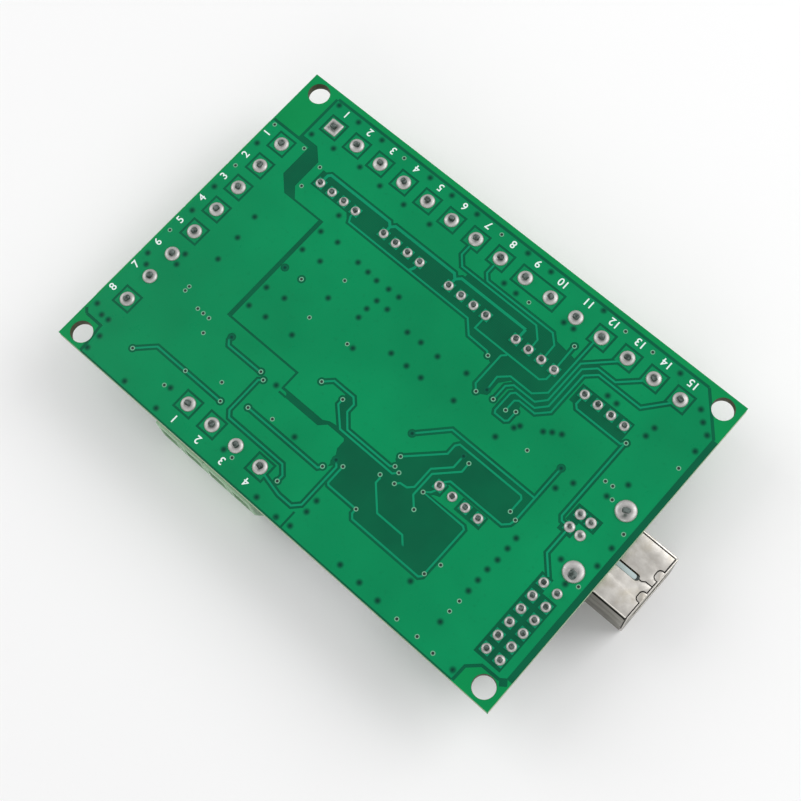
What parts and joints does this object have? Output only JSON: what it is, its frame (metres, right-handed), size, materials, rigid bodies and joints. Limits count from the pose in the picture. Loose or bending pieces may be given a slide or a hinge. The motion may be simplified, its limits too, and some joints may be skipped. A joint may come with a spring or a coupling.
{
  "type": "cnc breakout board",
  "caption": "Green machine-control interface board, solder side up, with screw terminal rows, pin sockets, a pin header and a USB-B socket hanging below.",
  "frame": {"origin": "middle of the four mounting holes, on the solder face of the laminate", "axes": "+X along the long edge towards the USB socket, +Y towards the fifteen-way output terminals, +Z out of the solder face, away from the components"},
  "size_m": [0.0959, 0.0603, 0.0136],
  "materials": {
    "black_plastic": "black moulded plastic",
    "can_aluminium": "bright drawn aluminium can",
    "capacitor_ceramic": "tan ceramic",
    "chip_plastic": "black epoxy, fine matt",
    "ferrite": "dark grey ferrite",
    "gold_contacts": "gold-plated spring contacts",
    "lamp_lens": "clear pale lens",
    "masked_copper": "glossy green solder mask over copper, a lighter green",
    "nickel_steel": "nickel-plated sheet steel",
    "pale_plastic": "natural moulded plastic",
    "plated_steel": "zinc-plated steel",
    "resistor_glaze": "black glazed film with pale ends",
    "solder": "bright tin solder, slightly uneven",
    "solder_mask": "glossy green solder mask over bare glass-epoxy laminate",
    "terminal_plastic": "moulded pale green polyamide, satin",
    "tin_leads": "tin-plated leads",
    "tinned_brass": "tin-plated brass pins, satin",
    "white_plastic": "natural white polyamide"
  },
  "bodies": {
    "root": {"amplifier": "chip_plastic", "amplifier_leads": "tin_leads", "axis_pins": "tinned_brass", "axis_socket_1": "white_plastic", "axis_socket_2": "white_plastic", "axis_socket_3": "white_plastic", "axis_socket_4": "white_plastic", "axis_socket_5": "white_plastic", "axis_solder": "solder", "capacitor_bases": "black_plastic", "capacitor_cans": "can_aluminium", "ceramic_capacitors": "capacitor_ceramic", "circuit_board": "solder_mask", "converter_pins": "tinned_brass", "converter_solder": "solder", "crystal": "nickel_steel", "header_block": "black_plastic", "header_pins": "tinned_brass", "header_solder": "solder", "input_clamps": "plated_steel", "input_contacts": "tinned_brass", "input_screws": "plated_steel", "input_terminal_1": "terminal_plastic", "input_terminal_2": "terminal_plastic", "input_terminal_3": "terminal_plastic", "input_terminal_4": "terminal_plastic", "isolators": "chip_plastic", "isolators_leads": "tin_leads", "line_driver": "chip_plastic", "line_driver_leads": "tin_leads", "microcontroller": "chip_plastic", "microcontroller_leads": "tin_leads", "output_clamps": "plated_steel", "output_contacts": "tinned_brass", "output_driver": "chip_plastic", "output_driver_leads": "tin_leads", "output_screws": "plated_steel", "output_terminal_1": "terminal_plastic", "output_terminal_2": "terminal_plastic", "output_terminal_3": "terminal_plastic", "output_terminal_4": "terminal_plastic", "output_terminal_5": "terminal_plastic", "power_diode": "chip_plastic", "power_inductor": "ferrite", "power_regulator": "chip_plastic", "resistors": "resistor_glaze", "solder_side_copper": "masked_copper", "spindle_clamps": "plated_steel", "spindle_contacts": "tinned_brass", "spindle_screws": "plated_steel", "spindle_terminal_1": "terminal_plastic", "spindle_terminal_2": "terminal_plastic", "status_lamps": "lamp_lens", "supply_converter": "black_plastic", "terminal_solder": "solder", "usb_contacts": "gold_contacts", "usb_insulator": "pale_plastic", "usb_shell": "nickel_steel", "usb_solder": "solder"}
  },
  "joints": []
}
